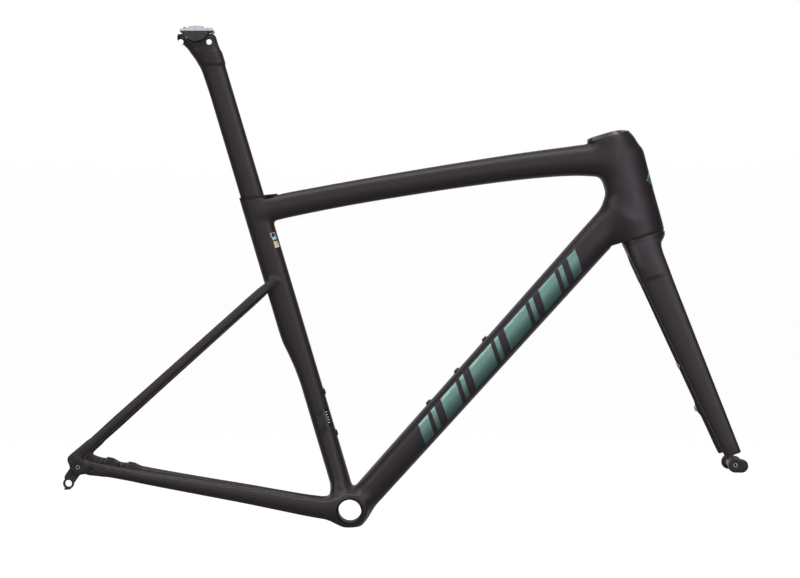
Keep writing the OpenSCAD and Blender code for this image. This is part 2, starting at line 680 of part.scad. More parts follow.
rear_bolt_top = [-248.5, 723.4];
rear_bolt_lean = -18;
front_bolt_top = [-211.9, 723.4];
front_bolt_lean = 0;
bolt_reach = 10.6;
clamp_head_r = 3.9;
nut_r = 3.9;
clamp_bolt_clear_r = 2.7;
// Middles of the slots that let the clamp bolts swing in the seatpost head
slot_x = [-252.2, -211.9];
rear_nut_at = [-254.4, 705.3];
front_nut_at = [-211.9, 705.3];

module seatpost() color(carbon) difference() {
    loft(concat(post_rings, head_slice_rings));
    cavity(post_rings, 2.4);
    cross_pin(tilt_at, cradle_r + 0.35, -40, 40);
    for (at = [rear_nut_at, front_nut_at]) cross_pin(at, nut_r + 0.1, -40, 40);
    for (x = slot_x) translate([x, 0, 712]) cube([12, 7, 14], center = true);
}
module barrel_nut(at) difference() {
    cross_pin(at, nut_r, -11, 11);
    translate([at[0], 0, at[1] - 10]) cylinder(r = thread_r, h = 20);
}
module barrel_nut_rear() color(steel) barrel_nut(rear_nut_at);
module barrel_nut_front() color(steel) barrel_nut(front_nut_at);

module seat_seal() color(rubber) difference() {
    on_seat(480) rotate([0, 0, -90]) linear_extrude(40) polygon(rounded(37.3, 19.9, 28.4, [2.4, 2.4]));
    post_bar(440, 560, post_gap);
    // Foot on the seat cluster, and a top face that is nearly level
    translate([collar_at[0], 0, collar_at[1] + 0.05]) rotate([0, -collar_slope, 0])
        translate([-60, -40, -60]) cube([140, 80, 60]);
    translate([-164.4, 0, 470.9]) rotate([0, -6.6, 0]) translate([-40, -40, 0]) cube([140, 80, 60]);
    wedge_bolt_room();
}
module wedge_bolt_room() on_seat(pocket_foot) translate([wedge_bolt_forward, 0, 0])
    cylinder(r = wedge_bolt_head_r + 0.6, h = 24.8);

module seatpost_wedge() color(alloy) difference() {
    wedge_outline(0, wedge_w, 5, 20.8);
    post_bar(440, 560, post_gap);
    on_seat(pocket_foot) translate([wedge_bolt_forward, 0, 0]) cylinder(r = thread_r, h = 40);
}

// ---- Saddle clamp ----

rail_z = 720.9;
clamp_half = 27.5;
module rail_grooves() for (side = [right, left])
    translate([tilt_at[0], side * rail_spacing / 2, rail_z]) rotate([0, 90, 0])
        cylinder(r = rail_r, h = 80, center = true);
module clamp_bolt_holes() {
    translate([rear_bolt_top[0], 0, rear_bolt_top[1]]) rotate([0, -rear_bolt_lean, 0])
        translate([0, 0, -30]) cylinder(r = clamp_bolt_clear_r, h = 40);
    translate([front_bolt_top[0], 0, front_bolt_top[1] - 30]) cylinder(r = clamp_bolt_clear_r, h = 40);
}
module saddle_cradle() color(black) difference() {
    union() {
        intersection() {
            cross_pin(tilt_at, cradle_r, -clamp_half, clamp_half);
            side_plate([[-253, 700], [-210, 700], [-210, 719.6], [-253, 719.6]], 2 * clamp_half + 2);
        }
        side_plate([[-248.5, 719.3], [-211.5, 719.3], [-205.4, 720.4], [-205.4, 720.8], [-255.2, 720.8],
            [-255.2, 720.4]], 2 * clamp_half);
    }
    rail_grooves();
    clamp_bolt_holes();
}
module saddle_clamp_plate() color(alloy) difference() {
    side_plate([[-255.2, 721.2], [-204.8, 721.2], [-204.8, 723.2], [-208, 724.6], [-217, 725.2], [-220, 728],
        [-231, 728.9], [-241, 728], [-244, 725.2], [-252, 724.6], [-255.2, 723.2]], 2 * clamp_half);
    side_plate([[-240.5, 729.5], [-236.5, 725.4], [-225, 725.4], [-221.5, 729.5]], 2 * clamp_half - 6);
    rail_grooves();
    clamp_bolt_holes();
    for (x = [-248.3, -211.9]) translate([x, 0, 728.2]) cube([12, 10.5, 8], center = true);
    translate([rear_bolt_top[0], 0, rear_bolt_top[1] + 0.9]) rotate([0, -rear_bolt_lean, 0])
        cylinder(r = clamp_head_r + 0.4, h = 8);
}
module clamp_bolt(top, lean) translate([top[0], 0, top[1]]) rotate([0, -lean, 0]) difference() {
    union() {
        translate([0, 0, 1]) cylinder(r = clamp_head_r, h = 3.4);
        translate([0, 0, -bolt_reach]) cylinder(r = thread_r, h = bolt_reach + 2);
    }
    translate([0, 0, 2]) cylinder(r = 2, h = 5, $fn = 6);
}
module clamp_bolt_rear() color(black) clamp_bolt(rear_bolt_top, rear_bolt_lean);
module clamp_bolt_front() color(steel) clamp_bolt(front_bolt_top, front_bolt_lean);

head_tube();
top_tube();
down_tube();
seat_tube();
bottom_bracket_lug();
bottom_bracket_sleeve();
chainstay_right();
chainstay_left();
seatstay_right();
seatstay_left();
dropout_right();
dropout_left();
derailleur_hanger();
hanger_screw();
wire_grommet();
rear_brake_inserts();
lower_bearing_outer();
upper_bearing_outer();
headset_cover();
wedge_bolt();
down_tube_inserts();
down_tube_bolts();
seat_tube_inserts();
seat_tube_bolts();
front_derailleur_plate();
front_derailleur_bolts();
steerer();
fork_crown();
fork_blade_right();
fork_blade_left();
fork_dropout_right();
fork_dropout_left();
front_brake_inserts();
lower_bearing_inner();
upper_bearing_inner();
compression_ring();
lower_ball_cage();
upper_ball_cage();
seatpost();
barrel_nut_rear();
barrel_nut_front();
seat_seal();
seatpost_wedge();
saddle_cradle();
saddle_clamp_plate();
clamp_bolt_rear();
clamp_bolt_front();
rear_axle();
front_axle();
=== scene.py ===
import json
import math
import bpy
import numpy as np
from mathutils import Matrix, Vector
from mathutils.bvhtree import BVHTree
from mathutils.geometry import delaunay_2d_cdt


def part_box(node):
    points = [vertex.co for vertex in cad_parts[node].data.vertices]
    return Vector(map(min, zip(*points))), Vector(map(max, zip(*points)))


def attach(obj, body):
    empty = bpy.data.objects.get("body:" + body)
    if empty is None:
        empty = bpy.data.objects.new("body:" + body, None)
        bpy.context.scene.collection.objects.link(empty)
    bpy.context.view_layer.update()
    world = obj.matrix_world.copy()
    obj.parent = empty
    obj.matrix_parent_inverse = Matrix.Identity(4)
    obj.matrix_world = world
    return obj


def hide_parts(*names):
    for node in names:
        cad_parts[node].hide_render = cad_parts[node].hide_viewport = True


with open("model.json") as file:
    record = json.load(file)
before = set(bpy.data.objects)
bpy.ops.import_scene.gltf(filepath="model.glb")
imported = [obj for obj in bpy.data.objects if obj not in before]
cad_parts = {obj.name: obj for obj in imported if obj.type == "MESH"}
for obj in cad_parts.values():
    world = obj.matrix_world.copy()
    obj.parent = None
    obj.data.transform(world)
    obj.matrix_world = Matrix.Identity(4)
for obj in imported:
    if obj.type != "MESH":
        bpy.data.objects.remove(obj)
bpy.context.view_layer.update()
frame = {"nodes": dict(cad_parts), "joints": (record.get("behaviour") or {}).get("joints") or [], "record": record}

MM = 0.001
RIGHT, LEFT = -1, 1

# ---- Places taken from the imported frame, in millimetres ----

joints = {j["name"]: j for j in frame["joints"]}
mounts = {m["name"]: m for m in frame["record"]["mounts"]}


def centre(node):
    """Middle of a CAD node's box, in millimetres."""
    low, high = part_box(node)
    return np.array((low + high) / 2) / MM


def mount_at(name):
    """Place of a mount, in millimetres."""
    return np.array(mounts[name]["pos_m"]) / MM


def line_angle(axis):
    """Angle of a direction in the side view, in degrees from +X."""
    return math.degrees(math.atan2(axis[2], axis[0]))


CROWN = np.array(joints["steering"]["pos_m"]) / MM
HEAD_LINE = line_angle(joints["steering"]["axis"])
FORK_LINE = HEAD_LINE - 180
SEAT_LINE = line_angle(joints["seatpost_height"]["axis"])
TILT = np.array(joints["saddle_tilt"]["pos_m"]) / MM
REAR_AXLE = centre("rear_axle")
FRONT_AXLE = centre("front_axle")
SEAT_BASE = (-5.7, 0.0)
DOWN_BASE = (3.9, 0.0)
DOWN_LINE = 48.05
BARREL_R = 23.4
SLEEVE_R = 20.0
AXLE_HOLE_R = 6.0
NUT_HOLE_R = 4.0
PORT_HOLE_R = 4.5
STEERER_SEAT_R = 17.1
REAR_HALF = 71.0
FRONT_HALF = 50.0
NO_CUT = -50.0


def along(base, angle, s, off=0.0):
    """Point in the side view at s along a line, moved off to its left."""
    c, d = math.cos(math.radians(angle)), math.sin(math.radians(angle))
    return np.array([base[0] + s * c - off * d, base[-1] + s * d + off * c])


# ---- Smooth solids as distance fields, in millimetres ----


def smooth_table(rows, step=0.5):
    """Rows of [s, values...] as a fine table with monotone cubic curves between the rows."""
    rows = np.array(rows, float)
    s, v = rows[:, 0], rows[:, 1:]
    h = np.diff(s)
    d = np.diff(v, axis=0) / h[:, None]
    m = np.zeros_like(v)
    m[0], m[-1] = d[0], d[-1]
    for i in range(1, len(s) - 1):
        same = d[i - 1] * d[i] > 0
        w1, w2 = 2 * h[i] + h[i - 1], h[i] + 2 * h[i - 1]
        safe = np.where(same, d[i - 1] * d[i], 1.0)
        m[i] = np.where(same, (w1 + w2) * safe / (w1 * d[i] + w2 * d[i - 1] + 1e-12 * (~same)), 0)
    at = np.arange(s[0], s[-1] + step, step).clip(s[0], s[-1])
    i = np.clip(np.searchsorted(s, at, "right") - 1, 0, len(s) - 2)
    t = ((at - s[i]) / h[i])[:, None]
    hi = h[i][:, None]
    out = (v[i] * (1 + 2 * t) * (1 - t) ** 2 + m[i] * hi * t * (1 - t) ** 2
           + v[i + 1] * t * t * (3 - 2 * t) + m[i + 1] * hi * t * t * (t - 1))
    return at, out


def tube(base, angle, rows, both_sides=False, bend=((0, 0), (1, 0))):
    """Tube along a line in the side view.
    Rows are [s, left reach, right reach, width, y, roundness left, roundness right].
    Bend rows are [s, offset to the left] and carry the tube's middle off its line."""
    at, table = smooth_table(rows)
    bend_at, bend_off = smooth_table(bend)
    c, d = math.cos(math.radians(angle)), math.sin(math.radians(angle))
    reach = max(table[:, 0].max(), table[:, 1].max()) + np.abs(bend_off).max() + 40
    ends = [along(base, angle, s) for s in (at[0], at[-1])]
    low = np.minimum(*ends) - reach
    high = np.maximum(*ends) + reach

    def field(p):
        out = np.full(len(p), 60.0)
        near = np.all((p[:, [0, 2]] > low) & (p[:, [0, 2]] < high), axis=1)
        q = p[near]
        if not len(q):
            return out
        dx, dz = q[:, 0] - base[0], q[:, 2] - base[-1]
        s, u = dx * c + dz * d, -dx * d + dz * c
        u = u - np.interp(s, bend_at, bend_off[:, 0])
        left, right, width, y0, n_left, n_right = [np.interp(s, at, table[:, k]) for k in range(6)]
        y = np.abs(q[:, 1]) if both_sides else q[:, 1]
        v = np.abs(y - y0) + 1e-3
        up = u > 0
        u = np.abs(u) + 1e-3
        n = np.where(up, n_left, n_right)
        pu = (u / np.where(up, left, right)) ** n
        pv = (v / (width / 2)) ** n
        g = (pu + pv) ** (1 / n)
        slope = g ** (1 - n) * np.hypot(pu / u, pv / v)
        dist = (g - 1) / slope
        cap = np.maximum(at[0] - s, s - at[-1])
        out[near] = np.where((cap > 0) & (dist > 0), np.hypot(cap, dist), np.maximum(dist, cap))
        return out

    return field


def cross_cylinder(at, r, y0, y1, edge=1.0):
    """Cylinder across the bicycle with rounded rims."""
    def field(p):
        a = np.hypot(p[:, 0] - at[0], p[:, 2] - at[-1]) - r + edge
        b = np.abs(p[:, 1] - (y0 + y1) / 2) - abs(y1 - y0) / 2 + edge
        return np.minimum(np.maximum(a, b), 0) + np.hypot(np.maximum(a, 0), np.maximum(b, 0)) - edge
    return field


def link_plate(a, ra, b, rb, y0, y1, edge=1.5):
    """Flat link between two round ends in the side view, y0 to y1 across."""
    a, b = np.array(a, float), np.array(b, float)
    span = b - a

    def field(p):
        q = p[:, [0, 2]] - a
        t = np.clip(q @ span / (span @ span), 0, 1)
        side = np.hypot(*(q - t[:, None] * span).T) - (ra + (rb - ra) * t) + edge
        flat = np.abs(p[:, 1] - (y0 + y1) / 2) - abs(y1 - y0) / 2 + edge
        outside = np.hypot(np.maximum(side, 0), np.maximum(flat, 0))
        return np.minimum(np.maximum(side, flat), 0) + outside - edge
    return field


def half_space(point, normal):
    """Everything behind a plane."""
    point, normal = np.array(point, float), np.array(normal, float)
    normal /= np.linalg.norm(normal)
    return lambda p: (p - point) @ normal


def union(parts):
    """Smooth union: each part is (field, blend width with what came before)."""
    def field(p):
        out = parts[0][0](p)
        for part, k in parts[1:]:
            d = part(p)
            h = np.maximum(k - np.abs(out - d), 0) / k
            out = np.minimum(out, d) - h * h * k / 4
        return out
    return field


def carve(body, tool, k):
    """Body with the tool taken away, its edge softened over k."""
    def field(p):
        a, b = body(p), -tool(p)
        h = np.maximum(k - np.abs(a - b), 0) / k
        return np.maximum(a, b) + h * h * k / 4
    return field


def gradient(field, p, e=0.05):
    out = np.empty_like(p)
    for k in range(3):
        step = np.zeros(3)
        step[k] = e
        out[:, k] = (field(p + step) - field(p - step)) / (2 * e)
    return out


def in_chunks(field, p, size=400000):
    return np.concatenate([field(p[i:i + size]) for i in range(0, len(p), size)])


COARSE = 4  # grid cells along each side of a block


def sample_near(solid, low, high, cell):
    """Distances at the grid points of the blocks that the surface may cross, and which points those are."""
    n = np.ceil((high - low) / (cell * COARSE)).astype(int)
    shape = n * COARSE + 1
    grid = np.stack(np.meshgrid(*[np.arange(k) for k in n], indexing="ij"), -1).reshape(-1, 3)
    mid = low + (grid + 0.5) * cell * COARSE
    blocks = grid[np.abs(in_chunks(solid, mid)) < cell * COARSE * 1.25] * COARSE
    known = np.zeros(shape, bool)
    for step in np.stack(np.meshgrid(*[np.arange(COARSE + 1)] * 3, indexing="ij"), -1).reshape(-1, 3):
        known[tuple((blocks + step).T)] = True
    values = np.full(shape, 1e3, np.float32)
    values[known] = in_chunks(solid, low + np.argwhere(known) * cell)
    return values, known


def crossed_cells(inside, known):
    """Cells that the surface crosses: those with corners on both sides, all of them known."""
    shape = np.array(inside.shape)
    corners = np.zeros(shape - 1, np.uint8)
    full = np.ones(shape - 1, bool)
    for dx in (0, 1):
        for dy in (0, 1):
            for dz in (0, 1):
                part = tuple(slice(d, size - 1 + d) for d, size in zip((dx, dy, dz), shape))
                corners += inside[part]
                full &= known[part]
    return (corners > 0) & (corners < 8) & full


def first_points(values, where):
    """First guess at each cell's vertex, in grid steps: the mean of its edge crossings."""
    total = np.zeros((len(where), 3))
    count = np.zeros(len(where))
    for axis in range(3):
        other = [k for k in range(3) if k != axis]
        for a in (0, 1):
            for b in (0, 1):
                start = where.copy()
                start[:, other[0]] += a
                start[:, other[1]] += b
                end = start.copy()
                end[:, axis] += 1
                v0, v1 = values[tuple(start.T)], values[tuple(end.T)]
                hit = (v0 < 0) != (v1 < 0)
                spot = start[hit].astype(float)
                spot[:, axis] += v0[hit] / (v0[hit] - v1[hit])
                total[hit] += spot
                count[hit] += 1
    return total / count[:, None]


def crossing_faces(inside, known, number):
    """One face for each grid edge that changes sign, through the vertices of the four cells around it."""
    shape = inside.shape
    faces = []
    for axis in range(3):
        u, v = (axis + 1) % 3, (axis + 2) % 3
        a, b = [slice(None)] * 3, [slice(None)] * 3
        a[axis], b[axis] = slice(0, -1), slice(1, None)
        change = (inside[tuple(a)] != inside[tuple(b)]) & known[tuple(a)] & known[tuple(b)]
        at = np.argwhere(change)
        at = at[(at[:, u] > 0) & (at[:, v] > 0) & (at[:, u] < shape[u] - 1) & (at[:, v] < shape[v] - 1)]
        corners = []
        for du, dv in ((0, 0), (1, 0), (1, 1), (0, 1)):
            q = at.copy()
            q[:, u] -= du
            q[:, v] -= dv
            corners.append(number[tuple(q.T)])
        quad = np.stack(corners, 1)
        outward = inside[tuple(at.T)]
        quad[~outward] = quad[~outward][:, ::-1]
        faces.append(quad[(quad >= 0).all(1)])
    return np.concatenate(faces)


def settle(points, walls, cell):
    """Moves vertices onto the surfaces they are near; those near two land on the edge between them."""
    for turn in range(4):
        reach = cell * (0.75 if turn < 2 else 0.35)
        near = [np.abs(in_chunks(w, points)) < reach for w in walls]
        lead = np.stack([in_chunks(w, points) for w in walls]).argmax(0)
        for k, wall in enumerate(walls):
            active = near[k] | (lead == k)
            q = points[active]
            if not len(q):
                continue
            g = gradient(wall, q)
            move = wall(q)[:, None] * g / np.maximum((g * g).sum(1), 1e-6)[:, None]
            size = np.linalg.norm(move, axis=1, keepdims=True)
            points[active] = q - move * np.minimum(1, 0.8 * cell / np.maximum(size, 1e-9))


def skin(name, body, cuts, low, high, cell):
    """Mesh of the body less what lies in front of each cut, with crisp edges where they meet."""
    low, high = np.array(low, float), np.array(high, float)
    solid = lambda p: np.maximum.reduce([body(p)] + [c(p) for c in cuts])
    values, known = sample_near(solid, low, high, cell)
    inside = values < 0
    crossed = crossed_cells(inside, known)
    where = np.argwhere(crossed)
    number = np.full(crossed.shape, -1, np.int32)
    number[crossed] = np.arange(len(where))
    points = low + first_points(values, where) * cell
    faces = crossing_faces(inside, known, number)
    settle(points, [body] + list(cuts), cell)
    mesh = bpy.data.meshes.new(name)
    mesh.from_pydata((points * MM).tolist(), [], faces.tolist())
    mesh.validate()
    mesh.update()
    piece = bpy.data.objects.new(name, mesh)
    bpy.context.scene.collection.objects.link(piece)
    mesh.shade_smooth()
    if cuts:
        mesh.set_sharp_from_angle(angle=math.radians(38))
    print(name, len(points), "vertices", len(faces), "faces")
    return piece


# ---- The frame's shape. Rows are [s, left, right, width, y, roundness left, roundness right] ----

SEAM = 0.12
COVER_FOOT = 157.15
COVER_BACK = 33.9
SWING_R = 46
PAINT_BUILD = 0.55

head = tube(CROWN, HEAD_LINE, [
    [-12, 25.6, 39.4, 53.6, 0, 2.5, 1.85], [SEAM, 25.8, 39.5, 53.4, 0, 2.5, 1.85],
    [1.9, 26.6, 40.4, 55, 0, 2.5, 1.85], [20, 26.6, 41.3, 54, 0, 2.5, 1.85],
    [60, 27, 41.9, 50, 0, 2.4, 1.8], [100, 28, 43.3, 47.5, 0, 2.4, 1.75],
    [122, 29.5, 44.1, 47, 0, 2.4, 1.75], [128, 30, 43.2, 47, 0, 2.4, 1.75],
    [135, 30.3, 40.5, 47, 0, 2.4, 1.8],
    [154.6, 31.8, 33.8, 46.6, 0, 2.4, 2], [156.2, 31, 32.6, 45.4, 0, 2.4, 2], [165, 31, 30, 45, 0, 2.4, 2]])
TOP_ROWS = [[-140, 469.8, 435, 27], [-118, 473.8, 436, 29], [-90, 479.2, 442.2, 30], [0, 495.7, 460, 31],
            [91, 511.4, 475.2, 33], [182, 526.3, 488.9, 36], [272, 540, 500, 40], [320, 546.4, 503.8, 42],
            [350, 550.4, 504.4, 44], [372, 553, 503, 45], [400, 556, 492, 44]]  # [x, top, foot, width]
top = tube((0, 0), 0, [[x, (hi - lo) / 2, (hi - lo) / 2, w, 0, 2.3, 2.3] for x, hi, lo, w in TOP_ROWS],
           bend=[[x, (hi + lo) / 2] for x, hi, lo, w in TOP_ROWS])
down = tube(DOWN_BASE, DOWN_LINE, [
    [-6, 20.5, 20.5, 61, 0, 2.6, 2.4], [60, 21.2, 21.2, 60, 0, 2.6, 2.4],
    [200, 22.3, 22.3, 57, 0, 2.6, 2.4],
    [340, 23.4, 23.2, 55, 0, 2.6, 2.4], [480, 24.5, 24.2, 55, 0, 2.6, 2.4],
    [535, 25, 24.4, 52, 0, 2.5, 2.4],
    [600, 25, 26, 42, 0, 2.4, 2.4]])
seat = tube(SEAT_BASE, SEAT_LINE, [
    [0, 13, 19, 62, 0, 2.4, 2.4], [30, 11.6, 19, 53, 0, 2.4, 2.4], [50, 10.9, 19.1, 46, 0, 2.4, 2.4],
    [95, 10.9, 19.1, 36, 0, 2.4, 2.4], [150, 10.9, 19.1, 30, 0, 2.4, 2.4],
    [196, 10.9, 19.1, 29, 0, 2.4, 2.4],
    [220, 12, 19.1, 29, 0, 2.4, 2.4],
    [250, 15.5, 19.1, 29, 0, 2.4, 2.4], [272, 18.9, 19.1, 29, 0, 2.4, 2.4],
    [290, 19.5, 19.1, 29, 0, 2.4, 2.4],
    [515, 19.5, 19.1, 29, 0, 2.4, 2.4]])
barrel = cross_cylinder((0, 0), BARREL_R, -33.6, 33.6, 1.2)

chainstay = tube((0, 0), 0, [
    [-388, 7.6, 7.6, 8.5, 74.9, 2.3, 2.3], [-362, 8, 8, 10.5, 74.4, 2.3, 2.3],
    [-331, 8.3, 8.3, 12.5, 70.5, 2.3, 2.3],
    [-308, 8.7, 8.7, 15, 66, 2.3, 2.3], [-223, 10.2, 10.2, 16, 54, 2.3, 2.3],
    [-150, 11.8, 11.8, 17, 45, 2.3, 2.3],
    [-101, 12.6, 13.2, 18, 39.5, 2.3, 2.3], [-60, 13.2, 14.8, 19, 35, 2.3, 2.3],
    [-10, 14.2, 17, 20, 31.5, 2.3, 2.3]],
    both_sides=True, bend=[[-388, 65], [-362, 62.3], [-331, 57], [-308, 52.3], [-223, 36.6], [-150, 23.6],
                           [-101, 14.5], [-60, 7.5], [-10, 1.2]])
STAY_FOOT = (-385.8, 101.2)
seatstay = tube(STAY_FOOT, 42, [
    [-30, 7.0, 7.0, 8, 75, 2.3, 2.3], [-8, 7.1, 7.1, 9, 74.8, 2.3, 2.3],
    [30, 7.1, 6.9, 11.5, 72, 2.3, 2.3], [115, 6.8, 6.5, 12, 60, 2.3, 2.3],
    [209, 6.8, 6.8, 12.5, 42, 2.3, 2.3], [282, 6.8, 7.0, 13, 27, 2.3, 2.3],
    [318, 7.0, 7.2, 12, 20.2, 2.3, 2.3],
    [340, 6.8, 6.8, 9, 16.4, 2.3, 2.3], [356, 5.0, 6.0, 6, 14.4, 2.2, 2.2], [369, 1.6, 3.6, 4, 13.7, 2, 2]],
    both_sides=True)

PORT = centre("wire_grommet")
right_drop = union([
    (link_plate((-403.5, 69.5), 11.8, (-409.5, 78), 8, -78.8, -REAR_HALF), 1),
    (link_plate((-411.6, 79.9), 7.2, (-386, 101.1), 6.2, -78.6, -REAR_HALF), 3),
    (link_plate((-403.5, 69.7), 10.4, (-366, 63.2), 7.4, -78.8, -REAR_HALF), 6),
    (cross_cylinder(REAR_AXLE, 11.7, -80, -REAR_HALF, 1.2), 0.8)])
left_drop = union([
    (link_plate((-403.5, 69.5), 12.6, (-409.5, 78), 8, REAR_HALF, 78.8), 1),
    (link_plate((-411.6, 79.9), 7.2, (-386, 101.1), 6.2, REAR_HALF, 78.6), 3),
    (link_plate((-403.5, 68.3), 13, (-366, 63.4), 9, REAR_HALF, 79), 9)])
BRAKE_HOLES = [mount_at(name)[[0, 2]] for name in ("rear_brake_hole_rear", "rear_brake_hole_front")]
brake_bosses = union([(link_plate(at + [-2.5, -1.6], 8.6, at + [4.5, -1.6], 8.6, 62.8, 76.2), 4)
                      for at in BRAKE_HOLES])

web = link_plate((-23, 10), 9, (-17, 29), 8, -24, 24, 3)
joined = union([(head, 1), (down, 24), (top, 7), (seat, 7), (barrel, 20), (web, 12), (chainstay, 16),
                (seatstay, 7), (right_drop, 5), (left_drop, 5), (brake_bosses, 5)])


def frame_body(p):
    """The joined tubes, a little fuller all round except at the dropouts, whose faces are fixed."""
    return joined(p) - PAINT_BUILD * np.clip((p[:, 0] + 372) / 20, 0, 1)


up = np.array([math.cos(math.radians(HEAD_LINE)), 0, math.sin(math.radians(HEAD_LINE))])


def steer_point(s, off=0.0, y=0.0):
    """Point at a height up the steering axis, moved back by off and across by y."""
    x, z = along(CROWN, HEAD_LINE, s, off)
    return np.array([x, y, z])


def hole_across(at, r, y_low=-200, y_high=200):
    """Cut: what lies inside a cylinder across the bicycle, between two sides."""
    def field(p):
        a = r - np.hypot(p[:, 0] - at[0], p[:, 2] - at[-1])
        return np.minimum(np.minimum(a, p[:, 1] - y_low), y_high - p[:, 1])
    return field


def only_near(cut, test):
    """The cut, but only where the test is true; elsewhere it takes nothing."""
    return lambda p: np.where(test(p), cut(p), NO_CUT)


def near_head(p):
    return p[:, 0] > 330


def near_seat_top(p):
    return (p[:, 0] < -104) & (p[:, 2] > 440)


def steering_frame(p):
    """Heights of points up the steering axis, and how far they lie in front of it."""
    x, z = p[:, 0] - CROWN[0], p[:, 2] - CROWN[2]
    return x * up[0] + z * up[2], x * up[2] - z * up[0]


def swing_room(p):
    """Cut: room for the fork crown to turn in, below the seam and within its reach of the steering axis."""
    s, ahead = steering_frame(p)
    return np.minimum(SEAM - s, SWING_R - np.hypot(ahead, p[:, 1]))


def cover_room(p):
    """Cut: the flat top of the head tube, under the headset cover."""
    s, ahead = steering_frame(p)
    return np.minimum(s - COVER_FOOT, ahead + COVER_BACK)


SEAT_TOP_TILT = math.radians(10.3)
seat_top = half_space((-148.8, 0, 468.1), (-math.sin(SEAT_TOP_TILT), 0, math.cos(SEAT_TOP_TILT)))


cuts = [
    only_near(swing_room, near_head),
    only_near(cover_room, near_head),
    only_near(seat_top, near_seat_top),
    hole_across((0, 0, 0), SLEEVE_R),
    hole_across(REAR_AXLE, AXLE_HOLE_R),
    hole_across(PORT, PORT_HOLE_R, -95, -60),
]
frame_skin = skin("frame_skin", frame_body, cuts, (-430, -86, -32), (482, 86, 575), 2.0)

# ---- Fork ----

WHEEL_R = 350
TUNNEL_HALF = 20.2
crown = tube(CROWN, FORK_LINE, [
    [-6, 39.8, 26.0, 52, 0, 1.9, 2.5], [-0.1, 39.8, 26.0, 52.2, 0, 1.9, 2.5],
    [1.4, 41, 26.4, 53.8, 0, 1.9, 2.5],
    [6, 39.8, 25.8, 55, 0, 1.9, 2.5], [14, 34.2, 24.6, 60, 0, 2, 2.5], [22.5, 30.4, 23, 65.5, 0, 2.2, 2.6],
    [32, 28.6, 21.4, 70.5, 0, 2.4, 2.6], [45, 28.6, 19.2, 74.5, 0, 2.4, 2.6],
    [60, 29.4, 17, 75.5, 0, 2.4, 2.6]])
# Rows are [s, reach forward, reach back, y, width]
BLADE_ROWS = [[14, 27, 21, 17.5, 16], [30, 27.4, 21, 24, 16.4], [45, 28.6, 19.2, 28.6, 16.8],
              [80, 30.9, 13.9, 31.5, 16.4], [120, 34.1, 7.8, 35, 15.8], [160, 37.3, 1.8, 38.5, 15.2],
              [200, 40.5, -4.3, 42, 14.6], [240, 43.7, -10.4, 45.7, 14], [280, 46.9, -16.5, 49.5, 13.2],
              [315, 49.7, -21.8, 53, 12.4], [341, 51.8, -25.8, 55.5, 11.6], [350, 52.5, -27.6, 55.8, 11.4]]
blades = tube(CROWN, FORK_LINE,
              [[s, (f + r) / 2, (f + r) / 2, w, y, 2.3, 2.3] for s, f, r, y, w in BLADE_ROWS],
              both_sides=True, bend=[[s, (f - r) / 2] for s, f, r, y, w in BLADE_ROWS])
fork_ends = union([(link_plate(FRONT_AXLE[[0, 2]] + [0.3, -0.3], 11.2, FRONT_AXLE[[0, 2]] + [9.2, -1.5], 10,
                               side * FRONT_HALF, side * 61.4, 2.2), 1) for side in (RIGHT, LEFT)])


def wheel_room(p):
    """Room for the tyre: a disc about the front axle with a round rim."""
    rho = np.hypot(p[:, 0] - FRONT_AXLE[0], p[:, 2] - FRONT_AXLE[2])
    return np.hypot(np.maximum(rho - WHEEL_R + TUNNEL_HALF, 0), p[:, 1]) - TUNNEL_HALF


def steerer_seat(p):
    """Cut: the hole that the steerer stands in, down through the crown."""
    return STEERER_SEAT_R - np.hypot(steering_frame(p)[1], p[:, 1])


# Raised foot around the lower brake thread on the left blade
thread = mount_at("front_brake_thread_lower")
fork_boss = link_plate(thread[[0, 2]] + [1.2, 3.2], 5.2, thread[[0, 2]] + [4, -3.4], 5.2,
                       thread[1] - 6, thread[1] + 6, 2.5)
crown = carve(crown, wheel_room, 5)
fork_body = union([(crown, 1), (blades, 8), (fork_ends, 8), (fork_boss, 6)])
fork_cuts = [
    only_near(half_space(steer_point(-0.1), up), lambda p: p[:, 2] > 370),
    hole_across(FRONT_AXLE, AXLE_HOLE_R),
    only_near(steerer_seat, lambda p: p[:, 2] > 340),
]
fork_skin = skin("fork_skin", fork_body, fork_cuts, (395, -70, 50), (604, 70, 425), 1.7)

# ---- Seatpost ----

CRADLE_R = 20.35
REAR_NUT, FRONT_NUT = centre("barrel_nut_rear"), centre("barrel_nut_front")
post = tube(SEAT_BASE, SEAT_LINE, [
    [366, 16.95, 16.95, 22, 0, 2.2, 2.2], [656, 17.1, 16.9, 22, 0, 2.2, 2.2],
    [675, 17.6, 16.9, 22, 0, 2.2, 2.2],
    [694, 18.4, 16.9, 22.4, 0, 2.2, 2.2], [714, 21.7, 16.9, 24, 0, 2.2, 2.3],
    [730, 26, 17, 26, 0, 2.4, 2.6],
    [760, 34, 17, 27, 0, 3, 3]])
HEAD_ROWS = [[674, -226.5, -189.5, 22.6], [686, -236.3, -192.8, 24.5], [694, -243.2, -195.3, 26],
             [703.5, -253.4, -198.8, 27], [709, -260.1, -200.4, 27.5], [714, -260.3, -202.1, 27.5],
             [718, -259.2, -206, 26.8]]
post_head = tube((0, 0), 90, [[z, (f - r) / 2, (f - r) / 2, w, 0, 3, 3] for z, r, f, w in HEAD_ROWS],
                 bend=[[z, -(r + f) / 2] for z, r, f, w in HEAD_ROWS])
POST_TOP = 690
below_top = half_space((0, 0, POST_TOP), (0, 0, 1))
post_low = lambda p: np.maximum(post(p), below_top(p))
post_joined = union([(post_low, 1), (post_head, 5)])


def post_body(p):
    """The post, a little fuller below its head, whose clamp seat is fixed."""
    return post_joined(p) - PAINT_BUILD * np.clip((700 - p[:, 2]) / 15, 0, 1)


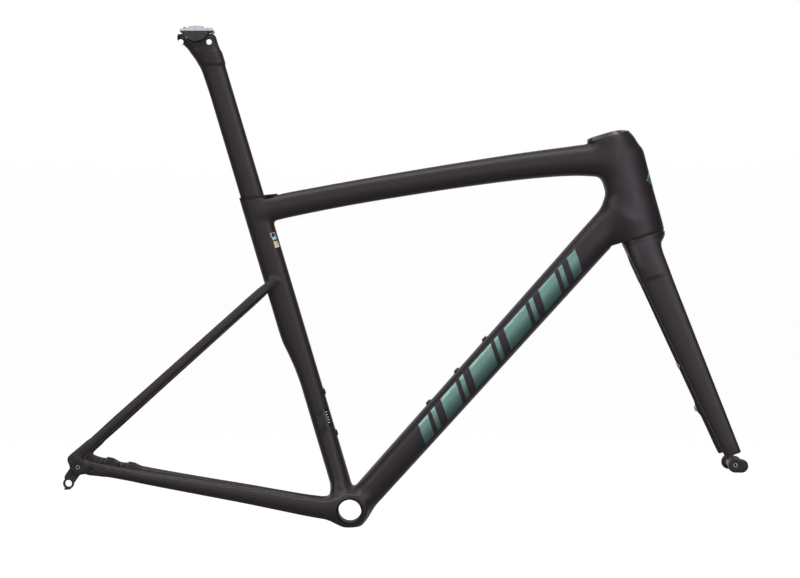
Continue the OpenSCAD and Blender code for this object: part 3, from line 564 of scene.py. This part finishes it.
def bolt_slot(x):
    """Cut: slot in the top of the post head that a clamp bolt goes down."""
    return lambda p: np.minimum.reduce(
        [6 - np.abs(p[:, 0] - x), 3.5 - np.abs(p[:, 1]), 7 - np.abs(p[:, 2] - 712)])


post_cuts = [
    half_space((0, 0, 717.4), (0, 0, 1)),
    hole_across(TILT, CRADLE_R),
    hole_across(REAR_NUT, NUT_HOLE_R),
    hole_across(FRONT_NUT, NUT_HOLE_R),
    bolt_slot(-252.2),
    bolt_slot(-211.9),
]
post_skin = skin("post_skin", post_body, post_cuts, (-268, -18, 340), (-85, 18, 722), 1.5)

for piece, body in ((frame_skin, "frame"), (fork_skin, "fork"), (post_skin, "seatpost")):
    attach(piece, body)
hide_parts("fork_crown", "fork_blade_right", "fork_blade_left", "fork_dropout_right",
            "fork_dropout_left")
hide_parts("seatpost")
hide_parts("head_tube", "top_tube", "down_tube", "seat_tube", "bottom_bracket_lug",
            "chainstay_right", "chainstay_left", "seatstay_right", "seatstay_left", "dropout_right",
            "dropout_left")

# ---- Materials: every pattern is measured along the piece's own coordinates ----


class Shader:
    """A material's node tree, with short calls for the nodes used here."""

    def __init__(self, name):
        self.mat = bpy.data.materials.new(name)
        self.mat.use_nodes = True
        self.tree = self.mat.node_tree
        self.bsdf = self.tree.nodes["Principled BSDF"]

    def node(self, kind, **values):
        n = self.tree.nodes.new(kind)
        for key, value in values.items():
            if key in n.inputs:
                n.inputs[key].default_value = value
            else:
                setattr(n, key, value)
        return n

    def link(self, a, b):
        self.tree.links.new(a, b)

    def place(self, scale=(1, 1, 1)):
        coord = self.node("ShaderNodeTexCoord")
        mapping = self.node("ShaderNodeMapping")
        mapping.inputs["Scale"].default_value = scale
        self.link(coord.outputs["Object"], mapping.inputs["Vector"])
        return mapping.outputs["Vector"]

    def noise(self, scale, detail=3.0, stretch=(1, 1, 1)):
        n = self.node("ShaderNodeTexNoise", Scale=scale, Detail=detail)
        self.link(self.place(stretch), n.inputs["Vector"])
        return n.outputs["Fac"]

    def spread(self, value, low, high):
        n = self.node("ShaderNodeMapRange")
        n.inputs["From Min"].default_value = 0.3
        n.inputs["From Max"].default_value = 0.7
        n.inputs["To Min"].default_value = low
        n.inputs["To Max"].default_value = high
        self.link(value, n.inputs["Value"])
        return n.outputs["Result"]

    def shade(self, value, dark, light):
        n = self.node("ShaderNodeMix", data_type="RGBA")
        n.inputs[6].default_value = (*dark, 1)
        n.inputs[7].default_value = (*light, 1)
        self.link(self.spread(value, 0, 1), n.inputs[0])
        self.link(n.outputs[2], self.bsdf.inputs["Base Color"])

    def bump(self, value, height, strength=1.0):
        n = self.node("ShaderNodeBump", Strength=strength, Distance=height)
        self.link(value, n.inputs["Height"])
        self.link(n.outputs["Normal"], self.bsdf.inputs["Normal"])

    def rough(self, value, low, high):
        self.link(self.spread(value, low, high), self.bsdf.inputs["Roughness"])


def paint(name, dark, light, rough, flake=0.0, shine=0.5):
    """Satin paint with a faint pearl in it and a little orange peel."""
    m = Shader(name)
    m.shade(m.noise(2600, 1), dark, light)
    m.rough(m.noise(90, 4), rough - 0.03, rough + 0.03)
    m.bump(m.noise(700, 2), 0.00002, 0.25)
    m.bsdf.inputs["Metallic"].default_value = flake
    m.bsdf.inputs["Specular IOR Level"].default_value = shine
    return m.mat


def metal(name, dark, light, rough, stretch=(1, 1, 1), metallic=1.0):
    """Turned or bead-blasted metal: fine marks along one axis."""
    m = Shader(name)
    m.shade(m.noise(160, 3), dark, light)
    marks = m.noise(1400, 2, stretch)
    m.rough(marks, rough - 0.06, rough + 0.06)
    m.bump(marks, 0.00002, 0.2)
    m.bsdf.inputs["Metallic"].default_value = metallic
    return m.mat


def rubber(name, dark, light):
    """Dull soft surface with a fine grain."""
    m = Shader(name)
    m.shade(m.noise(300, 4), dark, light)
    m.bsdf.inputs["Specular IOR Level"].default_value = 0.2
    m.rough(m.noise(500, 3), 0.62, 0.75)
    m.bump(m.noise(1500, 2), 0.00003, 0.4)
    return m.mat


PAINT = paint("satin_pearl_paint", (0.0178, 0.0136, 0.0168), (0.0265, 0.0202, 0.0250), 0.47, 0.35, 0.36)
CARBON = paint("bare_carbon", (0.010, 0.010, 0.011), (0.018, 0.018, 0.020), 0.5)
ALLOY = metal("silver_alloy", (0.55, 0.55, 0.57), (0.68, 0.68, 0.70), 0.3, (1, 0.05, 1))
LILAC = metal("clamp_alloy", (0.42, 0.41, 0.45), (0.52, 0.51, 0.55), 0.42, (1, 0.05, 1))
BLACK = metal("black_anodised", (0.016, 0.016, 0.017), (0.026, 0.026, 0.028), 0.42, metallic=0.4)
BOLT = metal("black_steel", (0.014, 0.014, 0.015), (0.024, 0.024, 0.026), 0.36, metallic=0.5)
COVER = metal("cover_alloy", (0.060, 0.058, 0.050), (0.085, 0.080, 0.070), 0.36, (1, 0.05, 1), 0.7)
STEEL = metal("bearing_steel", (0.50, 0.50, 0.51), (0.62, 0.62, 0.64), 0.2)
THREAD = rubber("dull_black_thread", (0.003, 0.003, 0.003), (0.005, 0.005, 0.005))
RUBBER = rubber("rubber", (0.008, 0.008, 0.009), (0.014, 0.014, 0.015))
BY_SLOT = {"carbon_paint": PAINT, "bare_carbon": CARBON, "silver_alloy": ALLOY, "black_anodised": BLACK,
           "black_bolts": BOLT, "bearing_steel": STEEL, "rubber": RUBBER}


def cover_with(piece, material):
    piece.data.materials.clear()
    piece.data.materials.append(material)


for part in frame["record"]["subparts"]:
    cover_with(frame["nodes"][part["node"]], BY_SLOT[part["material_slot"]])
for node, material in (("headset_cover", COVER), ("saddle_clamp_plate", LILAC),
                       ("bottom_bracket_sleeve", THREAD), ("rear_brake_inserts", BLACK),
                       ("rear_axle", BLACK), ("front_axle", BLACK),
                       ("down_tube_inserts", BLACK), ("seat_tube_inserts", BLACK), ("wire_grommet", RUBBER)):
    cover_with(frame["nodes"][node], material)
for piece in (frame_skin, fork_skin, post_skin):
    cover_with(piece, PAINT)

# ---- Surface pieces: graphics, badge and labels, laid on the paint. Lifts and sinks are in millimetres ----

EDGE_LIFT = 0.14
INK_LIFT, INK_SINK = 0.42, 0.1
MARK_LIFT = 0.26
# Teal print colour in two tones: the dark one is painted shade for the lower part of each graphic, the light one
# is painted highlight for its upper part
TEAL_PAINTED_SHADE, TEAL_PAINTED_HIGHLIGHT = (0.040, 0.088, 0.084), (0.155, 0.285, 0.255)


def add_piece(name, verts, faces, body, material):
    """New piece from points in metres, on a body and in a material slot."""
    mesh = bpy.data.meshes.new(name)
    mesh.from_pydata([tuple(v) for v in verts], [], faces)
    mesh.update()
    piece = bpy.data.objects.new(name, mesh)
    bpy.context.scene.collection.objects.link(piece)
    cover_with(piece, material)
    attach(piece, body)


def surface_of(piece):
    """A piece's mesh as a tree that rays can hit."""
    mesh = piece.data
    return BVHTree.FromPolygons([v.co.copy() for v in mesh.vertices],
                                [tuple(f.vertices) for f in mesh.polygons])


frame_surface = surface_of(frame_skin)


def fill(outline, step):
    """Triangles that fill a flat outline, with points every few millimetres so that they can bend."""
    rim = []
    for a, b in zip(outline, outline[1:] + outline[:1]):
        a, b = np.array(a, float), np.array(b, float)
        n = max(1, int(np.linalg.norm(b - a) / step))
        rim += [tuple(a + (b - a) * i / n) for i in range(n)]
    pts = np.array(rim)
    low, high = pts.min(0), pts.max(0)
    inner = []
    for u in np.arange(low[0] + step / 2, high[0], step):
        for v in np.arange(low[1] + step / 2, high[1], step):
            turns = 0
            for a, b in zip(rim, rim[1:] + rim[:1]):
                if (a[1] > v) != (b[1] > v) and u < a[0] + (v - a[1]) * (b[0] - a[0]) / (b[1] - a[1]):
                    turns += 1
            if turns % 2 and np.hypot(*(pts - (u, v)).T).min() > step * 0.4:
                inner.append((u, v))
    out = delaunay_2d_cdt([Vector(q) for q in rim + inner], [], [list(range(len(rim)))], 1, 1e-4)
    return [tuple(v) for v in out[0]], [tuple(f) for f in out[2]]


def laid_on(name, outline, ray, material, lift=EDGE_LIFT, sink=0.35, step=4.0):
    """Thin closed piece of the outline's shape, laid on the frame along rays from outside."""
    points, tris = fill(outline, step)
    top, under = [], []
    for u, v in points:
        start, direction = ray(u, v)
        hit = frame_surface.ray_cast(Vector(start) * MM, Vector(direction))[0]
        if hit is None:
            raise ValueError(name + " runs off its surface")
        top.append(hit - Vector(direction) * lift * MM)
        under.append(hit + Vector(direction) * sink * MM)
    m = len(top)
    a, b, c = [Vector(top[i]) for i in tris[0]]
    if (b - a).cross(c - a).dot(Vector(ray(*points[0])[1])) > 0:
        tris = [f[::-1] for f in tris]
    edges = dict.fromkeys((i, j) for f in tris for i, j in zip(f, f[1:] + f[:1]))
    rim = [(i, j) for i, j in edges if (j, i) not in edges]
    faces = list(tris) + [tuple(m + i for i in f[::-1]) for f in tris]
    faces += [(j, i, m + i, m + j) for i, j in rim]
    add_piece(name, top + under, faces, "frame", material)


def from_side(side):
    """Rays across the bicycle towards its middle, for outlines in the side view."""
    return lambda x, z: ((x, side * 200, z), (0, -side, 0))


def from_front(y, s):
    """Rays straight at the nose of the head tube, for outlines of [y, height up the head tube]."""
    return steer_point(s, -120, y), (-up[2], 0, up[0])


def ink_with_painted_light(name, low, high, direction, start, end, rough=0.35, flake=0.5):
    """Pearl ink that runs from one colour to another along a direction: the ink's hue is its own, and the run from
    the dark low colour to the light high colour is painted shade and painted highlight.
    """
    m = Shader(name)
    along_it = m.node("ShaderNodeVectorMath", operation="DOT_PRODUCT")
    m.link(m.place(), along_it.inputs[0])
    along_it.inputs[1].default_value = direction
    # Ramp along the direction: painted shade at the start, painted highlight at the end
    ramp = m.node("ShaderNodeMapRange")
    ramp.inputs["From Min"].default_value = start
    ramp.inputs["From Max"].default_value = end
    m.link(along_it.outputs["Value"], ramp.inputs["Value"])
    mix = m.node("ShaderNodeMix", data_type="RGBA")
    mix.inputs[6].default_value = (*low, 1)
    mix.inputs[7].default_value = (*high, 1)
    m.link(ramp.outputs["Result"], mix.inputs[0])
    m.link(mix.outputs[2], m.bsdf.inputs["Base Color"])
    m.rough(m.noise(300, 3), rough - 0.04, rough + 0.04)
    m.bsdf.inputs["Metallic"].default_value = flake
    return m.mat


def grown(outline, t):
    """Convex outline moved out by t on every side."""
    mid = np.mean(outline, axis=0)
    out = []
    n = len(outline)
    for i in range(n):
        a, b, c = [np.array(outline[(i + k) % n], float) for k in (-1, 0, 1)]
        e, f = (b - a) / np.linalg.norm(b - a), (c - b) / np.linalg.norm(c - b)
        na, nb = np.array([e[1], -e[0]]), np.array([f[1], -f[0]])
        if na @ (b - mid) < 0:
            na, nb = -na, -nb
        out.append(tuple(b + (na + nb) / (1 + na @ nb) * t))
    return out


# Slanted bars along the down tube: [start, end, low edge, high edge] in the tube's own line
BARS = [[156, 176, -15, 13], [184, 192, -15, 13], [206, 240, -16, 14], [248, 256, -16, 14],
        [270, 318, -16, 14],
        [326, 334, -16, 14], [348, 396, -16, 14], [404, 412, -16, 14], [426, 462, -16, 14],
        [470, 478, -16, 14],
        [490, 508, -16, 14]]
SLANT = 0.55
down_up = (-math.sin(math.radians(DOWN_LINE)), 0, math.cos(math.radians(DOWN_LINE)))
down_low = float(np.dot(down_up, (DOWN_BASE[0] * MM, 0, 0)))
INK = paint("outline_ink", (0.004, 0.004, 0.004), (0.007, 0.007, 0.007), 0.4)
# Teal for the bars: darker towards each bar's lower edge as painted shade, lighter towards its upper edge as
# painted highlight
TEAL = ink_with_painted_light("teal_ink_painted_light", TEAL_PAINTED_SHADE, TEAL_PAINTED_HIGHLIGHT, down_up, down_low - 0.016, down_low + 0.014)
# Teal for the badge: painted shade at its foot and painted highlight at its top, up the steering axis
BADGE = ink_with_painted_light("badge_ink_painted_light", TEAL_PAINTED_SHADE, TEAL_PAINTED_HIGHLIGHT, tuple(up), float(up @ CROWN) * MM + 0.066,
               float(up @ CROWN) * MM + 0.094)
PALE = paint("label_pale", (0.42, 0.42, 0.40), (0.52, 0.52, 0.50), 0.45)
BLUE = paint("label_blue", (0.25, 0.50, 0.68), (0.30, 0.56, 0.74), 0.4)
RED = paint("label_red", (0.16, 0.010, 0.014), (0.21, 0.014, 0.018), 0.4)
LIME = paint("label_lime", (0.42, 0.55, 0.08), (0.50, 0.62, 0.12), 0.4)
GLOSS = paint("label_black", (0.006, 0.006, 0.007), (0.009, 0.009, 0.010), 0.22)


def seam_line(name, s0, s1, front, rear, width, body):
    """Thin dark filler in a seam across the steering axis, with a round hole for the steerer."""
    n, verts = 72, []
    for s in (s0, s1):
        for i in range(n):
            c, k = math.cos(2 * math.pi * i / n), math.sin(2 * math.pi * i / n)
            reach, power = (front, 2 / 1.9) if k > 0 else (rear, 2 / 2.5)
            off, y = reach * math.copysign(abs(k) ** power, k), width / 2 * math.copysign(abs(c) ** power, c)
            verts.append(steer_point(s, -off, y) * MM)
            verts.append(steer_point(s, -18 * k, 18 * c) * MM)
    faces = []
    for i in range(n):
        a, b, c, d = 2 * i, 2 * ((i + 1) % n), 2 * n + 2 * ((i + 1) % n), 2 * n + 2 * i
        faces += [(a, b, c, d), (b + 1, a + 1, d + 1, c + 1), (b, a, a + 1, b + 1), (d, c, c + 1, d + 1)]
    add_piece(name, verts, faces, body, RUBBER)


seam_line("crown_seam", -0.07, 0.09, 39.4, 25.9, 52.6, "fork")
for side, hand in ((RIGHT, "right"), (LEFT, "left")):
    for k, (s0, s1, low, high) in enumerate(BARS):
        bar = [tuple(along(DOWN_BASE, DOWN_LINE, s + SLANT * off, off))
               for s, off in ((s0, low), (s1, low), (s1, high), (s0, high))]
        laid_on(f"bar_edge_{hand}_{k}", grown(bar, 1.1), from_side(side), INK)
        laid_on(f"bar_{hand}_{k}", bar, from_side(side), TEAL, INK_LIFT, INK_SINK)

KITE = [(0, 95), (-13, 79), (-3, 67), (3, 67), (13, 79)]
laid_on("badge_edge", grown(KITE, 0.9), from_front, INK)
laid_on("badge", KITE, from_front, BADGE, INK_LIFT, INK_SINK)


def seat_patch(s0, s1, f0, f1):
    """Outline on the seat tube's flank, between two heights and two reaches forward of its axis."""
    return [tuple(along(SEAT_BASE, SEAT_LINE, s, -f)) for s, f in ((s0, f0), (s1, f0), (s1, f1), (s0, f1))]


# Labels on the seat tube: [name, start, end, reach forward from, to, ink]
LABELS = [["label_top", 421.5, 425, 11.2, 17.4, BLUE], ["label_mid", 418.6, 421.5, 11.2, 17.4, RED],
          ["label_low", 416, 418.6, 11.2, 17.4, LIME], ["label_foot", 409, 415.6, 11.2, 17.6, PALE],
          ["label_head", 425.4, 432.4, 9.8, 16.8, PALE], ["plate_label", 129, 156, 10.6, 16.8, GLOSS]]
for name, s0, s1, f0, f1, ink in LABELS:
    laid_on(name, seat_patch(s0, s1, f0, f1), from_side(RIGHT), ink, sink=0.25, step=1.2)
laid_on("label_head_core", seat_patch(426.2, 431.6, 10.8, 15.9), from_side(RIGHT), GLOSS,
        MARK_LIFT, 0.15, 1.0)
for k in range(5):
    mark = seat_patch(134 + 4 * k, 135.2 + 4 * k, 12.4, 15.4)
    laid_on(f"plate_label_mark_{k}", mark, from_side(RIGHT), PALE, MARK_LIFT, 0.1, 1.0)


def lathe(name, profile, at, body, material, steps=64):
    """Ring across the bicycle, turned from a closed profile of [radius, y]."""
    verts, faces, n = [], [], len(profile)
    for i in range(steps):
        a = 2 * math.pi * i / steps
        c, d = math.cos(a), math.sin(a)
        verts += [((at[0] + r * c) * MM, y * MM, (at[2] + r * d) * MM) for r, y in profile]
    for i in range(steps):
        for k in range(n):
            j, m = (i + 1) % steps, (k + 1) % n
            faces.append((i * n + k, i * n + m, j * n + m, j * n + k))
    add_piece(name, verts, faces, body, material)


for name, at, tip, body in (("rear_axle_socket", REAR_AXLE, -78.6, "rear_through_axle"),
                            ("front_axle_socket", FRONT_AXLE, -60.6, "front_through_axle")):
    lathe(name, [[1.7, tip + 1.2], [2.1, tip + 0.6], [2.9, tip + 0.6], [3.15, tip + 0.9], [3.15, tip + 6],
                 [1.7, tip + 6]], at, body, ALLOY)

# ---- Stage, light and camera ----

FLOOR_Z = -0.27
FLOOR_FRONT, WALL_FOOT, WALL_BEND, WALL_TOP = -7.5, 5.8, 1.4, 11.5
STAGE_HALF = 8
GLOW_FROM, GLOW_TO, WALL_GLOW = 0.4, 1.7, 0.85
SKY_LOW, SKY_HIGH = 0.015, 1.2


def studio_white():
    """Pale sweep: a plain floor that turns brighter behind the bicycle."""
    m = Shader("studio_white")
    place = m.node("ShaderNodeSeparateXYZ")
    m.link(m.place(), place.inputs["Vector"])
    rise = m.node("ShaderNodeMapRange")
    for key, value in (("From Min", GLOW_FROM), ("From Max", GLOW_TO), ("To Min", 0.0),
                       ("To Max", WALL_GLOW)):
        rise.inputs[key].default_value = value
    m.link(place.outputs["Y"], rise.inputs["Value"])
    m.link(rise.outputs["Result"], m.bsdf.inputs["Emission Strength"])
    m.bsdf.inputs["Base Color"].default_value = (0.3, 0.3, 0.3, 1)
    m.bsdf.inputs["Roughness"].default_value = 0.9
    m.bsdf.inputs["Emission Color"].default_value = (1, 1, 1, 1)
    return m.mat


def sky():
    """Soft light that comes from above and fades towards the floor."""
    world = bpy.data.worlds.new("studio")
    world.use_nodes = True
    tree = world.node_tree
    kinds = ("ShaderNodeTexCoord", "ShaderNodeSeparateXYZ", "ShaderNodeMapRange")
    coord, split, ramp = [tree.nodes.new(kind) for kind in kinds]
    for key, value in (("From Min", -0.2), ("From Max", 0.9), ("To Min", SKY_LOW), ("To Max", SKY_HIGH)):
        ramp.inputs[key].default_value = value
    tree.links.new(coord.outputs["Generated"], split.inputs["Vector"])
    tree.links.new(split.outputs["Z"], ramp.inputs["Value"])
    tree.links.new(ramp.outputs["Result"], tree.nodes["Background"].inputs["Strength"])
    bpy.context.scene.world = world


def sweep_wall():
    """Floor that curves up into a wall behind the bicycle."""
    turn = [(WALL_FOOT + WALL_BEND * math.sin(a), FLOOR_Z + WALL_BEND * (1 - math.cos(a)))
            for a in np.linspace(0, math.pi / 2, 17)]
    line = [(FLOOR_FRONT, FLOOR_Z)] + turn + [(WALL_FOOT + WALL_BEND, WALL_TOP)]
    verts = [(x, y, z) for y, z in line for x in (-STAGE_HALF, STAGE_HALF)]
    faces = [(2 * i, 2 * i + 1, 2 * i + 3, 2 * i + 2) for i in range(len(line) - 1)]
    mesh = bpy.data.meshes.new("studio_sweep")
    mesh.from_pydata(verts, [], faces)
    mesh.shade_smooth()
    piece = bpy.data.objects.new("studio_sweep", mesh)
    bpy.context.scene.collection.objects.link(piece)
    cover_with(piece, studio_white())


def area_light(name, at, look, size, power):
    """Rectangular soft light at a place, turned to look at another."""
    data = bpy.data.lights.new(name, "AREA")
    data.energy = power
    data.shape = "RECTANGLE"
    data.size, data.size_y = size
    light = bpy.data.objects.new(name, data)
    light.location = at
    light.rotation_euler = (Vector(look) - Vector(at)).to_track_quat("-Z", "Y").to_euler()
    bpy.context.scene.collection.objects.link(light)


def studio():
    """The stage, its lights and the camera at the photograph's angle."""
    sweep_wall()
    sky()
    area_light("top_softbox", (0.0, -0.6, 2.6), (0.05, 0, 0.3), (3.0, 1.2), 66)
    area_light("front_softbox", (1.9, -2.6, 1.7), (0.15, 0, 0.25), (0.8, 2.0), 46)
    area_light("rear_softbox", (-1.9, -2.2, 1.6), (-0.1, 0, 0.2), (0.8, 1.6), 30)
    area_light("fill_card", (0.1, -5.2, 1.2), (0.05, 0, 0.3), (3.4, 1.4), 42)
    camera = bpy.data.objects.new("camera", bpy.data.cameras.new("camera"))
    camera.data.sensor_width = 36
    camera.data.lens = 161.1
    camera.location = (0.0756, -5.4, 0.3334)
    camera.rotation_euler = (math.radians(90), 0, 0)
    bpy.context.scene.collection.objects.link(camera)
    bpy.context.scene.camera = camera
    bpy.context.scene.view_settings.view_transform = "Standard"


studio()
